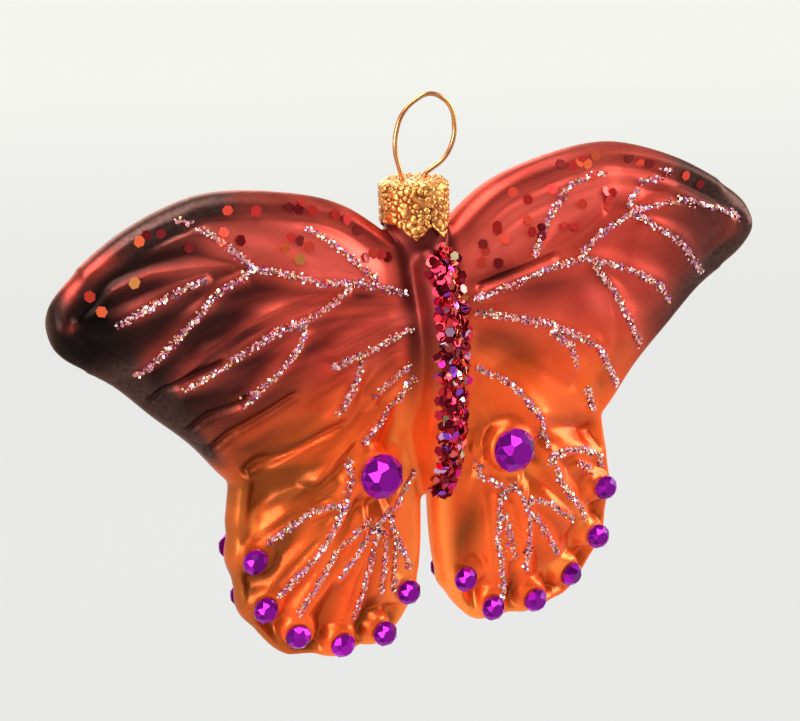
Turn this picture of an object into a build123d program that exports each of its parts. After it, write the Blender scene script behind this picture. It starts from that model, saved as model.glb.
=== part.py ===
"""Mould-blown glass butterfly ornament with a metal cap, a wire hanger and glued-on gems and glitter.

Frame: millimetres, +Z up, +X to the viewer's right, -Y the front.  The origin is the hanging
point in the wire eye, on the butterfly's mid-plane.  Everything hangs below it.
"""

from build123d import *
from math import cos, radians, tan
import os

# Stack of heights, from the hanging point down
eye_height = 9.0            # hanging point above the top of the cap
cap_height = 8.5            # top of the cap to the petal tips
wing_drop = 28.0            # top of the cap to the wing datum, where the forewing roots meet
seat_gap = 0.1              # cap top to the rim of the glass neck

# Glass
wall = 0.9                  # blown wall
neck_diameter = 9.4         # outside of the open neck
neck_depth = 15.0           # length of the straight neck tube, from the rim into the body
lip_radius = 0.4            # fire-polished edge of the neck
shoulder_gap = 1.2          # petal tips to the shoulder of the body

# Wing stations: distance out, lower edge, upper edge (from the wing datum), share of the thickness
forewing_thickness = 12.8
forewing_rim = 6.4
tip_curl = 2.8              # forward bend of the wing tips
curl_start = 36.0           # distance out where the bend begins
forewing = [
    (0.0, -14.0, 18.4, 1.00),
    (10.0, -15.0, 24.3, 1.00),
    (21.0, -15.6, 28.6, 1.00),
    (32.0, -15.4, 30.2, 0.96),
    (38.5, -8.3, 29.6, 0.92),
    (45.0, -2.2, 27.6, 0.86),
    (51.5, 4.0, 24.6, 0.80),
    (56.0, 7.0, 21.8, 0.73),
    (59.3, 9.2, 19.4, 0.61),
    (61.2, 11.6, 17.4, 0.42),
]
# Hindwing stations: height from the wing datum, inner edge, outer edge, share of the thickness
hindwing_thickness = 14.8
hindwing_rim = 7.0
hindwing = [
    (2.0, 1.0, 27.0, 0.80),
    (-5.0, 0.9, 32.0, 0.93),
    (-12.0, 0.9, 33.0, 1.00),
    (-19.0, 0.9, 33.9, 1.00),
    (-26.0, 1.0, 34.8, 0.95),
    (-32.5, 1.4, 34.2, 0.84),
    (-38.5, 3.0, 31.6, 0.70),
    (-44.8, 7.6, 25.6, 0.50),
]
# Body stations: drop below the shoulder, width, depth
body = [
    (0.0, 5.4, 8.8),
    (3.0, 6.8, 15.2),
    (8.0, 7.8, 19.2),
    (16.0, 8.0, 20.4),
    (26.0, 7.8, 19.8),
    (33.0, 6.6, 16.4),
    (37.5, 5.0, 11.2),
    (40.0, 3.0, 6.0),
]
rim_reach = 1.1             # how far a rim arc runs in, in half rim thicknesses

# Cap
cap_sheet = 0.35            # metal thickness
cap_fit = 0.1               # radial clearance on the neck
cap_crown_radius = 0.9      # rounding of the top edge
wing_clearance = 0.6        # cap skirt above the wing roots
petal_spread = 2.3          # petal tip off the mid-plane
petal_notch = 2.2           # height of the notch between two petals
seam_width = 0.25           # split seam up the front
seam_length = 5.0           # seam above the petal tips

# Hanger wire
wire_diameter = 0.75
wire_spacing = 4.0          # between the two legs at the cap
wire_hole = 1.1             # hole in the cap for one leg
leg_depth = 10.5            # legs below the top of the cap
leg_splay = 5.0             # between the two leg ends
# Eye of the wire: corner points of the bend, from the top of the cap, left leg to right leg
eye_bend = [
    (-3.3, 5.6),
    (-1.7, 10.9),
    (3.4, 13.5),
    (7.3, 10.8),
    (7.6, 6.0),
    (5.8, 2.7),
]
elbow_rise = 0.8            # sharp bend of each leg above the cap
elbow_radius = 0.8
bend_share = 0.45           # share of the shorter run that a bend takes

# Decorations
glue = 0.2                  # glue line under gems, beads, sequins and crust
eye_gem_diameter = 7.0
edge_gem_diameter = 4.0
gem_rise = 0.38             # height of a gem for each millimetre of its diameter
gem_sides = 8
gem_girdle = 0.22           # upright edge of a gem, as a share of its height
gem_table = 0.5             # flat top of a gem, as a share of its diameter
gem_shoulder = 0.62         # where the two rings of facets meet, as a share of the crown
eye_gem_place = (11.8, -15.0)
eye_boss_radius = 6.6       # round boss in the glass under a large gem
eye_boss_rise = 8.2         # top of the boss from the wing's mid-plane
edge_lobe_radius = 3.2      # scallop lobe in the wing margin under a small gem
edge_gem_places = [
    (31.6, -26.0),
    (30.2, -34.2),
    (24.8, -39.6),
    (17.6, -42.4),
    (9.9, -42.4),
    (5.2, -36.6),
]
coat_thickness = 0.8        # sequin crust on the body
coat_parting = 7.0          # gap between the front and the back crust at the body's flanks
bead_width = 1.0            # glitter line
bead_crest = 0.5            # width of its flat crest
bead_height = 0.5
bead_step = 2.0             # spacing of the sections along a line
skin_margin = 1.0           # how far outside its box a patch of glass is still looked at
bead_sag = 0.06             # room for the bulge of the glass between two sections
sequin_width = 1.6          # across the corners
sequin_thickness = 0.15

# Glitter lines on each wing: points out from the mid-plane and up from the wing datum
vein_lines = {
    "left_fore": [
        [(6.5, 12.5), (12.0, 14.5), (19.0, 15.5), (25.5, 18.0), (29.5, 19.0)],
        [(10.5, 15.5), (14.5, 19.5), (20.0, 24.0)],
        [(31.0, 20.5), (34.0, 23.0), (36.5, 25.5), (41.0, 27.5)],
        [(31.5, 18.0), (36.5, 16.0), (41.0, 12.0), (49.0, 5.5)],
        [(37.5, 18.5), (45.0, 16.5), (52.0, 14.0)],
        [(15.0, 13.5), (21.5, 10.5), (27.0, 9.5), (34.5, 6.0), (42.0, 2.5)],
        [(22.5, 8.5), (24.5, 5.5), (28.0, 2.0), (33.0, -1.0)],
        [(6.5, 6.0), (12.0, 4.0), (18.0, 2.5)],
        [(13.0, 2.5), (14.5, -1.0), (18.0, -5.0)],
        [(7.0, -0.5), (11.0, -3.5)],
        [(6.0, -3.5), (9.5, -7.0), (14.0, -10.0)],
    ],
    "right_fore": [
        [(7.0, 9.5), (14.5, 11.0), (20.0, 12.5), (26.5, 13.0)],
        [(27.5, 14.5), (30.5, 16.5), (37.0, 19.0)],
        [(36.5, 20.5), (39.5, 23.5), (46.0, 24.5)],
        [(39.0, 19.5), (47.0, 20.0), (56.0, 17.0)],
        [(39.5, 17.5), (45.5, 13.5), (51.0, 7.0)],
        [(28.0, 13.0), (36.0, 10.0), (41.5, 7.0), (45.0, 3.0)],
        [(29.5, 11.0), (32.0, 8.0), (37.0, 0.0), (39.5, -3.5)],
        [(18.0, 14.5), (22.0, 21.0), (27.0, 25.0), (33.0, 26.0)],
        [(7.0, 7.5), (13.5, 5.5), (20.5, 3.5), (29.5, -1.5), (34.5, -8.5)],
        [(21.0, 2.0), (24.5, -0.5), (26.0, -4.5)],
        [(28.5, -8.5), (30.5, -13.0)],
        [(7.0, -1.5), (13.0, -5.0), (18.0, -11.5)],
    ],
    "left_hind": [
        [(16.5, -15.0), (17.5, -19.5)],
        [(18.8, -19.0), (23.0, -19.0), (29.5, -23.5)],
        [(18.5, -21.0), (21.5, -25.5), (28.0, -32.5)],
        [(14.0, -22.8), (19.0, -26.5), (25.0, -36.0)],
        [(13.0, -24.8), (18.5, -31.0)],
        [(11.3, -25.0), (13.5, -33.5), (15.5, -38.5)],
        [(9.8, -26.0), (10.0, -31.0), (10.5, -35.5)],
        [(8.0, -24.0), (6.8, -28.0), (8.0, -36.0)],
        [(5.8, -29.5), (4.5, -33.0)],
        [(4.8, -18.8), (7.5, -21.8), (11.0, -23.2)],
    ],
    "right_hind": [
        [(20.0, -17.5), (27.0, -18.5), (31.5, -21.0)],
        [(26.0, -20.5), (30.0, -23.0)],
        [(20.0, -19.0), (22.0, -23.0), (28.5, -31.0)],
        [(7.5, -19.5), (9.5, -20.8), (13.0, -22.0)],
        [(11.0, -23.5), (10.5, -30.0), (12.0, -39.0)],
        [(11.8, -27.0), (13.5, -34.5)],
        [(14.2, -23.2), (16.0, -27.5), (15.5, -37.0)],
        [(17.2, -28.0), (22.0, -35.5)],
        [(16.5, -24.6), (19.5, -26.0), (25.0, -30.0)],
    ],
}
# Loose sequins on each forewing: points out from the mid-plane and up from the wing datum
sequin_places = {
    "left": [
        (43.0, 25.5), (46.5, 25.0), (39.0, 23.0), (32.5, 27.5), (28.0, 27.0), (21.0, 26.5), (18.8, 26.0),
        (15.0, 25.0), (13.0, 24.0), (11.5, 22.0), (33.5, 25.0), (31.0, 23.5), (21.5, 22.0), (24.0, 21.5),
        (22.0, 19.5), (9.0, 18.5), (6.8, 17.5), (55.0, 18.5), (54.0, 16.8), (48.5, 19.5),
    ],
    "right": [
        (25.0, 28.0), (27.2, 27.5), (31.5, 28.5), (30.0, 27.2), (38.0, 27.0), (40.0, 25.8), (48.5, 23.0),
        (51.0, 21.5), (16.0, 24.5), (18.5, 23.5), (23.0, 24.5), (17.8, 20.5), (18.2, 18.4), (12.5, 20.0),
        (13.5, 18.0), (28.0, 21.5), (34.0, 22.5), (33.0, 20.6), (26.0, 18.5), (10.0, 16.5), (9.0, 14.8),
        (11.8, 14.5),
    ],
}

cap_top = -eye_height
rim_top = cap_top - cap_sheet - seat_gap
petal_tip = cap_top - cap_height
datum = cap_top - wing_drop
shoulder = petal_tip - shoulder_gap
cap_inner_radius = neck_diameter / 2 + cap_fit
cap_radius = cap_inner_radius + cap_sheet
body_depth = max(depth for drop, width, depth in body)
FACES = [(-1, "front"), (1, "back")]
SIDES = [(-1, "left"), (1, "right")]


def lens(plane, low, high, half, rim):
    """A closed profile from low to high, bulged to half its thickness, with round rims."""
    reach = min(rim * rim_reach, (high - low) / 4)
    middle = (low + high) / 2
    with BuildSketch(plane) as profile:
        with BuildLine():
            ThreePointArc((low + reach, rim), (middle, half), (high - reach, rim))
            ThreePointArc((high - reach, rim), (high, 0), (high - reach, -rim))
            ThreePointArc((high - reach, -rim), (middle, -half), (low + reach, -rim))
            ThreePointArc((low + reach, -rim), (low, 0), (low + reach, rim))
        make_face()
    return profile.sketch


def forewing_sections(grow):
    """Upright sections from the left tip to the right tip, grown all round."""
    right = [(out, *rest) for out, *rest in forewing]
    left = [(-out, *rest) for out, *rest in forewing[:0:-1]]
    tip = forewing[-1][0]
    sections = []
    for out, low, high, share in left + right:
        half = forewing_thickness / 2 * share
        rim = forewing_rim / 2 * share * (half + grow) / half
        place = out * (tip + grow) / tip
        bend = max(abs(out) - curl_start, 0) / (tip - curl_start)
        plane = Plane((place, -tip_curl * bend**2, datum), x_dir=(0, 0, 1), z_dir=(1, 0, 0))
        sections.append(lens(plane, low - grow, high + grow, half + grow, rim))
    return sections


def hindwing_sections(grow):
    """Level sections of the right hindwing from its root to its lowest point, grown all round."""
    top = hindwing[0][0]
    bottom = hindwing[-1][0]
    sections = []
    for height, inner, outer, share in hindwing:
        half = hindwing_thickness / 2 * share
        rim = hindwing_rim / 2 * share * (half + grow) / half
        place = top + (height - top) * (top - bottom + grow) / (top - bottom)
        plane = Plane.XY.offset(datum + place)
        sections.append(lens(plane, inner - grow, outer + grow, half + grow, rim))
    return sections


def body_sections(grow):
    """Level ovals of the body from its shoulder to its tail, grown all round."""
    sections = []
    for drop, width, depth in body:
        end = grow if drop == body[-1][0] else 0
        with BuildSketch(Plane.XY.offset(shoulder - drop - end)) as oval:
            Ellipse(width / 2 + grow, depth / 2 + grow)
        sections.append(oval.sketch)
    return sections


def blown_form(grow):
    """The whole butterfly as one full form, grown all round by a distance."""
    lobes = [(side * out, 0, datum + up) for side in (-1, 1) for out, up in edge_gem_places]
    boss_out, boss_up = eye_gem_place
    boss_deep = eye_boss_rise - eye_boss_radius
    bosses = [(side * boss_out, face * boss_deep, datum + boss_up) for side in (-1, 1) for face in (-1, 1)]
    with BuildPart() as form:
        loft(forewing_sections(grow))
        hind = loft(hindwing_sections(grow), mode=Mode.PRIVATE)
        add([hind, hind.mirror(Plane.YZ)])
        loft(body_sections(grow))
        with Locations(*lobes):
            Sphere(edge_lobe_radius + grow)
        with Locations(*bosses):
            Sphere(eye_boss_radius + grow)
        with BuildSketch(Plane.XY.offset(rim_top)):
            Circle(neck_diameter / 2 + grow)
        extrude(amount=-neck_depth)
    return form.part


def surface(spot, outward, reach, skin):
    """The outermost point of the glass skin on a line through a spot, with the outward normal."""
    start = spot + outward * reach
    hits = []
    for patch, box in skin:
        in_width = box.min.X - skin_margin <= spot.X <= box.max.X + skin_margin
        in_height = box.min.Z - skin_margin <= spot.Z <= box.max.Z + skin_margin
        if in_width and in_height:
            hits += patch.find_intersection_points(Axis(start, -outward))
    if not hits:
        return None
    point, normal = max(hits, key=lambda hit: (hit[0] - spot).dot(outward))
    return point, normal if normal.dot(outward) > 0 else -normal


def seat(side, out, up, face, width=0):
    """The plane on which a flat piece of some width rests: front for face -1, back for face 1."""
    spot = Vector(side * out, 0, datum + up)
    point, normal = surface(spot, Vector(0, face, 0), body_depth, skins[face])
    across = normal.cross(Vector(0, 0, 1)).normalized()
    lift = glue
    for turn in range(0, 360 if width else 0, 60):
        spoke = across.rotate(Axis((0, 0, 0), normal), turn) * (width / 2)
        hit = surface(point + spoke, normal, width, skins[face])
        if hit:
            lift = max(lift, (hit[0] - point).dot(normal) + glue)
    return Plane(point + normal * lift, x_dir=across, z_dir=normal)


def bend_radii(points):
    """The largest bend that each corner's two runs leave room for."""
    spots = [Vector(*point) for point in points]
    radii = []
    for before, corner, after in zip(spots, spots[1:], spots[2:]):
        run_in = corner - before
        run_out = after - corner
        half_turn = radians(run_in.get_angle(run_out)) / 2
        radii.append(bend_share * min(run_in.length, run_out.length) / tan(half_turn))
    return radii


def cut_gem(diameter):
    """A flat-back stone: a round prism cut by one ring of crown facets and one of girdle facets."""
    height = gem_rise * diameter
    girdle = gem_girdle * height
    shoulder_out = (1 + gem_table) / 2 * diameter / 2
    shoulder_up = girdle + (height - girdle) * gem_shoulder
    with BuildPart() as gem:
        with BuildSketch():
            RegularPolygon(diameter / 2, 2 * gem_sides)
        extrude(amount=height)
        for number in range(2 * gem_sides):
            turn = 180 / gem_sides * number
            low = (diameter / 2 * cos(radians(90 / gem_sides)), girdle)
            high = (shoulder_out, shoulder_up)
            if number % 2:
                low = high
                high = (gem_table * diameter / 2, height)
            slope = Vector(high[1] - low[1], 0, low[0] - high[0]).rotate(Axis.Z, turn)
            corner = Vector(low[0], 0, low[1]).rotate(Axis.Z, turn)
            split(bisect_by=Plane(corner, z_dir=slope), keep=Keep.BOTTOM)
    return gem.part


def place_gem(stone, plane, name):
    """One stone glued on its seat."""
    with BuildPart() as gem:
        with Locations(plane):
            add(stone)
    save(gem, name)


def bead_sections(side, line, face):
    """Cross-sections of a glitter line, evenly spaced along its points and stood on the glass."""
    spots = []
    for (out, up), (next_out, next_up) in zip(line, line[1:]):
        run = Vector(next_out - out, next_up - up)
        count = max(2, round(run.length / bead_step))
        spots += [(out + run.X * k / count, up + run.Y * k / count) for k in range(count)]
    spots.append(line[-1])
    seats = [seat(side, out, up, face) for out, up in spots]
    sections = []
    for number, place in enumerate(seats):
        ahead = seats[min(number + 1, len(seats) - 1)].origin
        behind = seats[max(number - 1, 0)].origin
        along = (ahead - behind).normalized()
        across = place.z_dir.cross(along)
        with BuildSketch(Plane(place.origin, x_dir=across, z_dir=along)) as section:
            Polygon(
                (-bead_width / 2, bead_sag),
                (bead_width / 2, bead_sag),
                (bead_crest / 2, bead_height),
                (-bead_crest / 2, bead_height),
                align=None,
            )
        sections.append(section.sketch)
    return sections


def save(piece, name):
    """Label a finished piece and write it to its own file."""
    piece.part.label = name
    export_step(piece.part, f"parts/{name}.step")


os.makedirs("parts", exist_ok=True)

outside = blown_form(0)
patches = [(patch, patch.bounding_box()) for patch in outside.faces()]
skins = {face: [patch for patch in patches if patch[1].center().Y * face > -1] for face, name in FACES}

# Glass: the full form less the same form a wall thinner, open at the neck
with BuildPart() as glass_butterfly:
    add(outside)
    add(blown_form(-wall), mode=Mode.SUBTRACT)
    with BuildSketch(Plane.XY.offset(rim_top)):
        Circle(neck_diameter / 2 - wall)
    extrude(amount=-neck_depth, mode=Mode.SUBTRACT)
    rim = glass_butterfly.edges().filter_by(GeomType.CIRCLE).group_by(Axis.Z)[-1]
    fillet(rim.sort_by(SortBy.RADIUS)[-1], lip_radius)
save(glass_butterfly, "glass_butterfly")

# Cap: a drawn cup whose skirt is cut to petals, front and back, with a split seam and two holes
root_low, root_high = forewing[0], forewing[1]
root_rise = (root_high[2] - root_low[2]) * cap_radius / (root_high[0] - root_low[0])
skirt_side = datum + root_low[2] + root_rise + wing_clearance
with BuildPart() as ornament_cap:
    with BuildSketch(Plane.XZ):
        with BuildLine():
            Line((0, cap_top), (cap_radius - cap_crown_radius, cap_top))
            RadiusArc(
                (cap_radius - cap_crown_radius, cap_top),
                (cap_radius, cap_top - cap_crown_radius),
                cap_crown_radius,
            )
            Line((cap_radius, cap_top - cap_crown_radius), (cap_radius, petal_tip))
            Line((cap_radius, petal_tip), (cap_inner_radius, petal_tip))
            Line((cap_inner_radius, petal_tip), (cap_inner_radius, cap_top - cap_crown_radius))
            RadiusArc(
                (cap_inner_radius, cap_top - cap_crown_radius),
                (cap_radius - cap_crown_radius, cap_top - cap_sheet),
                -(cap_crown_radius - cap_sheet),
            )
            Line((cap_radius - cap_crown_radius, cap_top - cap_sheet), (0, cap_top - cap_sheet))
            Line((0, cap_top - cap_sheet), (0, cap_top))
        make_face()
    revolve(axis=Axis.Z)
    with BuildSketch(Plane.XZ):
        with BuildLine():
            Polyline(
                (-cap_radius, skirt_side),
                (-2 * petal_spread, skirt_side),
                (-petal_spread, petal_tip),
                (0, petal_tip + petal_notch),
                (petal_spread, petal_tip),
                (2 * petal_spread, skirt_side),
                (cap_radius, skirt_side),
                (cap_radius, petal_tip - wing_clearance),
                (-cap_radius, petal_tip - wing_clearance),
                close=True,
            )
        make_face()
    extrude(amount=cap_radius, both=True, mode=Mode.SUBTRACT)
    with BuildSketch(Plane.XZ):
        with Locations((0, petal_tip)):
            Rectangle(seam_width, seam_length, align=(Align.CENTER, Align.MIN))
    extrude(amount=cap_radius, mode=Mode.SUBTRACT)
    with Locations(Plane.XY.offset(cap_top)):
        with GridLocations(wire_spacing, 0, 2, 1):
            Hole(wire_hole / 2, depth=2 * cap_sheet)
save(ornament_cap, "ornament_cap")

# Hanger wire: leg, eye, leg, bent in the mid-plane of the wings
leg = wire_spacing / 2
foot = (leg_splay / 2, cap_top - leg_depth)
elbow = (leg, cap_top + elbow_rise)
eye = [(out, cap_top + up) for out, up in eye_bend]
corners = [(-foot[0], foot[1]), (-elbow[0], elbow[1]), *eye, elbow, foot]
with BuildPart() as hanger_wire:
    with BuildLine(Plane.XZ) as route:
        FilletPolyline(*corners, radius=[elbow_radius, *bend_radii(corners[1:-1]), elbow_radius])
    with BuildSketch(Plane(route.line @ 0, z_dir=route.line % 0)):
        Circle(wire_diameter / 2)
    sweep()
save(hanger_wire, "hanger_wire")

# Gems, front and back on both hindwings
eye_gem = cut_gem(eye_gem_diameter)
edge_gem = cut_gem(edge_gem_diameter)
for face, face_name in FACES:
    for side, side_name in SIDES:
        plane = seat(side, *eye_gem_place, face, eye_gem_diameter)
        place_gem(eye_gem, plane, f"eye_gem_{face_name}_{side_name}")
        for number, place in enumerate(edge_gem_places, 1):
            plane = seat(side, *place, face, edge_gem_diameter)
            place_gem(edge_gem, plane, f"edge_gem_{face_name}_{side_name}_{number}")

# Glitter lines and loose sequins
for face, face_name in FACES:
    for side, side_name in SIDES:
        for wing in ("fore", "hind"):
            with BuildPart() as vein_glitter:
                for line in vein_lines[f"{side_name}_{wing}"]:
                    loft(bead_sections(side, line, face), ruled=True)
            save(vein_glitter, f"vein_glitter_{face_name}_{side_name}_{wing}")
        with BuildPart() as wing_sequins:
            for out, up in sequin_places[side_name]:
                with BuildSketch(seat(side, out, up, face, sequin_width)):
                    RegularPolygon(sequin_width / 2, 6)
                extrude(amount=sequin_thickness)
        save(wing_sequins, f"wing_sequins_{face_name}_{side_name}")

# Body crust: what a thicker body leaves outside the glass, parted at the flanks
with BuildPart() as crust:
    loft(body_sections(coat_thickness))
    add(blown_form(glue), mode=Mode.SUBTRACT)
    split(bisect_by=Plane.XZ.offset(coat_parting / 2), keep=Keep.TOP)
for face, face_name in FACES:
    with BuildPart() as body_sequins:
        add(crust.part if face < 0 else crust.part.mirror(Plane.XZ))
    save(body_sequins, f"body_sequins_{face_name}")
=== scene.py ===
# %% [markdown]
# # A blown-glass butterfly on a wire hanger
# The ornament is one hollow form of glass, silvered inside and sprayed with coloured lacquer outside.
# A stamped metal cap slips over its neck, and the bent wire springs into the neck through the cap.
# Gems, glitter and sequins are glued on.  The solids of the part load first and stay where they are;
# each step below dresses one of them, in metres and in the same frame.

# %% Load the solids
import math
import random

import bmesh
import bpy
import numpy as np
from mathutils import Matrix, Quaternion, Vector, noise
from mathutils.bvhtree import BVHTree
from mathutils.kdtree import KDTree


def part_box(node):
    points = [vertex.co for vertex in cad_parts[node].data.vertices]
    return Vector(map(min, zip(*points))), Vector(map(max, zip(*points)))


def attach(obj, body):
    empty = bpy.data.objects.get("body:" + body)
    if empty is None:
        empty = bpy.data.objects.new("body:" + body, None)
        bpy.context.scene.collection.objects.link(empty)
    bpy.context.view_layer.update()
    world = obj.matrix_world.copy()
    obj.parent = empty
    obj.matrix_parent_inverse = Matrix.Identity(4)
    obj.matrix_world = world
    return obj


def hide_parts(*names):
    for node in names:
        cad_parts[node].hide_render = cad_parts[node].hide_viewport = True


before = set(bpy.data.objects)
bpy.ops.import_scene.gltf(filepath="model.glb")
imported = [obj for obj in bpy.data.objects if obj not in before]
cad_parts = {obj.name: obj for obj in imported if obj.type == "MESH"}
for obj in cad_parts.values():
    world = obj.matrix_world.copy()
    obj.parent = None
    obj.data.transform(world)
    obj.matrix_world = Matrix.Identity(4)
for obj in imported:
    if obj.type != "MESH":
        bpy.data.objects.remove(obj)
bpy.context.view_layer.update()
scene = bpy.context.scene
MM = 0.001  # the frame is in metres, and sizes below are in millimetres

# %% [markdown]
# ## The camera
# The ornament was seen from its left and a little above, through a long lens.  A camera looks along
# its own -Z, so a quaternion that points +Z back at the viewer sets it, and a turn about that axis
# gives the slight roll.

# %% Camera
aim = Vector((-3.331, 0, -37)) * MM
view_azimuth, view_elevation, view_roll = (math.radians(a) for a in (-28.504, 15.002, -1.908))
view_distance = 363 * MM
back = Vector((
    math.sin(view_azimuth) * math.cos(view_elevation),
    -math.cos(view_azimuth) * math.cos(view_elevation),
    math.sin(view_elevation),
))
lens_data = bpy.data.cameras.new("camera")
lens_data.sensor_width = 36
lens_data.lens = 105.4
lens_data.clip_start = 0.01
camera = bpy.data.objects.new("camera", lens_data)
scene.collection.objects.link(camera)
camera.location = aim + back * view_distance
camera.rotation_mode = "QUATERNION"
camera.rotation_quaternion = back.to_track_quat("Z", "Y") @ Quaternion((0, 0, 1), view_roll)
scene.camera = camera
scene.view_settings.view_transform = "Standard"
print("camera at", [round(c, 3) for c in camera.location])

# %% [markdown]
# ## Shared finishes
# Lacquer, metal and glass all carry a fine unevenness: sprayed specks, tarnish or a slight ripple.
# It is one node group with a size and a contrast, so each material sets how coarse and how strong
# its own is.  The group gives out only a mask and a height; the shader stays in the material.

# %% Node group
unevenness = bpy.data.node_groups.new("surface unevenness", "ShaderNodeTree")
for way, labels in (("INPUT", ("Size", "Low", "High")), ("OUTPUT", ("Mask", "Height"))):
    for label in labels:
        unevenness.interface.new_socket(name=label, in_out=way, socket_type="NodeSocketFloat")
ends_in = unevenness.nodes.new("NodeGroupInput").outputs
ends_out = unevenness.nodes.new("NodeGroupOutput").inputs
place = unevenness.nodes.new("ShaderNodeTexCoord")
clouds = unevenness.nodes.new("ShaderNodeTexNoise")
clouds.inputs["Detail"].default_value = 4
spread = unevenness.nodes.new("ShaderNodeMapRange")
for start, end in (
    (place.outputs["Object"], clouds.inputs["Vector"]),
    (ends_in["Size"], clouds.inputs["Scale"]),
    (clouds.outputs["Fac"], spread.inputs["Value"]),
    (ends_in["Low"], spread.inputs["From Min"]),
    (ends_in["High"], spread.inputs["From Max"]),
    (spread.outputs["Result"], ends_out["Mask"]),
    (clouds.outputs["Fac"], ends_out["Height"]),
):
    unevenness.links.new(start, end)
print(unevenness.name, "links:", len(unevenness.links))


# %% Material helpers
class Finish:
    """A material with a Principled shader, and short ways to add and join its nodes."""

    def __init__(self, name, **sockets):
        self.material = bpy.data.materials.new(name)
        self.material.use_nodes = True
        self.nodes = self.material.node_tree.nodes
        self.links = self.material.node_tree.links
        self.shader = self.nodes["Principled BSDF"]
        for label, value in sockets.items():
            self.shader.inputs[label.replace("_", " ")].default_value = value

    def join(self, out, into):
        self.links.new(out, into)

    def feed(self, out, label):
        self.join(out, self.shader.inputs[label])

    def uneven(self, size, low, high):
        """The unevenness group with its own values."""
        node = self.nodes.new("ShaderNodeGroup")
        node.node_tree = unevenness
        for label, value in (("Size", size), ("Low", low), ("High", high)):
            node.inputs[label].default_value = value
        return node.outputs

    def attribute(self, name):
        node = self.nodes.new("ShaderNodeAttribute")
        node.attribute_name = name
        return node.outputs["Fac"]

    def put(self, value, socket):
        """Joins an output to a socket, or sets a number or a colour there."""
        if hasattr(value, "is_linked"):
            self.join(value, socket)
        else:
            socket.default_value = value if isinstance(value, float) else (*value, 1)

    def mix(self, factor, first, second):
        """A colour between two.  All kinds of a Mix node share socket names, so places pick them."""
        node = self.nodes.new("ShaderNodeMix")
        node.data_type = "RGBA"
        for number, value in zip((0, 6, 7), (factor, first, second)):
            self.put(value, node.inputs[number])
        return node.outputs[2]

    def remap(self, value, low, high, to_low=0.0, to_high=1.0):
        node = self.nodes.new("ShaderNodeMapRange")
        self.join(value, node.inputs["Value"])
        labels = ("From Min", "From Max", "To Min", "To Max")
        for label, number in zip(labels, (low, high, to_low, to_high)):
            node.inputs[label].default_value = number
        return node.outputs["Result"]

    def combine(self, operation, first, second):
        """A sum, product or other operation on two numbers or outputs."""
        node = self.nodes.new("ShaderNodeMath")
        node.operation = operation
        for value, socket in zip((first, second), node.inputs):
            self.put(value, socket)
        return node.outputs[0]

    def ramp(self, value, stops, constant=False):
        node = self.nodes.new("ShaderNodeValToRGB")
        node.color_ramp.interpolation = "CONSTANT" if constant else "LINEAR"
        marks = node.color_ramp.elements
        while len(marks) < len(stops):
            marks.new(1)
        for mark, (position, colour) in zip(marks, stops):
            mark.position = position
            mark.color = (*colour, 1)
        self.join(value, node.inputs["Fac"])
        return node.outputs["Color"]

    def bump(self, height, strength, distance):
        node = self.nodes.new("ShaderNodeBump")
        node.inputs["Strength"].default_value = strength
        node.inputs["Distance"].default_value = distance
        self.join(height, node.inputs["Height"])
        self.feed(node.outputs["Normal"], "Normal")


print("steps for a finish:", [name for name in vars(Finish) if not name.startswith("_")])

# %% [markdown]
# ## The glass form
# A mould gives the blown wings their relief: each vein is a ridge, the cells between the veins sag,
# and pleats run out to a wavy margin.  The solid has the full form without that relief.  A copy of
# its outside is remeshed to an even grid, and every vertex sinks by a depth that depends on how far
# it lies from the veins, the folds and the margin.  The ridges and bosses stay where they are, so the
# glued pieces, which sit on them, keep their seats.

# %% Mesh helpers
def to_mesh(bm, name):
    """Writes a bmesh to a new mesh and frees it."""
    mesh = bpy.data.meshes.new(name)
    bm.to_mesh(mesh)
    bm.free()
    return mesh


def node_bmesh(*names):
    """A merged copy of some solids' triangles."""
    bm = bmesh.new()
    for name in names:
        bm.from_mesh(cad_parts[name].data)
    bmesh.ops.remove_doubles(bm, verts=bm.verts, dist=0.001 * MM)
    return bm


def island_of(start):
    """All the vertices that edges join to one vertex.  The list grows while it is walked."""
    reached, met = [start], {start}
    for vert in reached:
        for edge in vert.link_edges:
            other = edge.other_vert(vert)
            if other not in met:
                met.add(other)
                reached.append(other)
    return reached


def through_modifier(mesh, kind, **settings):
    """The mesh that one modifier makes of another mesh."""
    carrier = bpy.data.objects.new("carrier", mesh)
    scene.collection.objects.link(carrier)
    modifier = carrier.modifiers.new(kind.lower(), kind)
    for label, value in settings.items():
        setattr(modifier, label, value)
    bpy.context.view_layer.update()
    made = bpy.data.meshes.new_from_object(carrier.evaluated_get(bpy.context.evaluated_depsgraph_get()))
    bpy.data.objects.remove(carrier)
    return made


print("triangles of the glass solid:", len(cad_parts["glass_butterfly"].data.polygons))

# %% Outside of the glass
neck_cut = -13.0  # height of the cut through the neck
neck_reach = 5.2  # the neck's vertices lie nearer to its axis than this
neck_foot = -26.0  # and above this height
grid_size = 0.445
tip_start = 55.5  # the wing tips begin so far out from the middle
all_rounds, tip_rounds = 6, 44  # of smoothing


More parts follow.
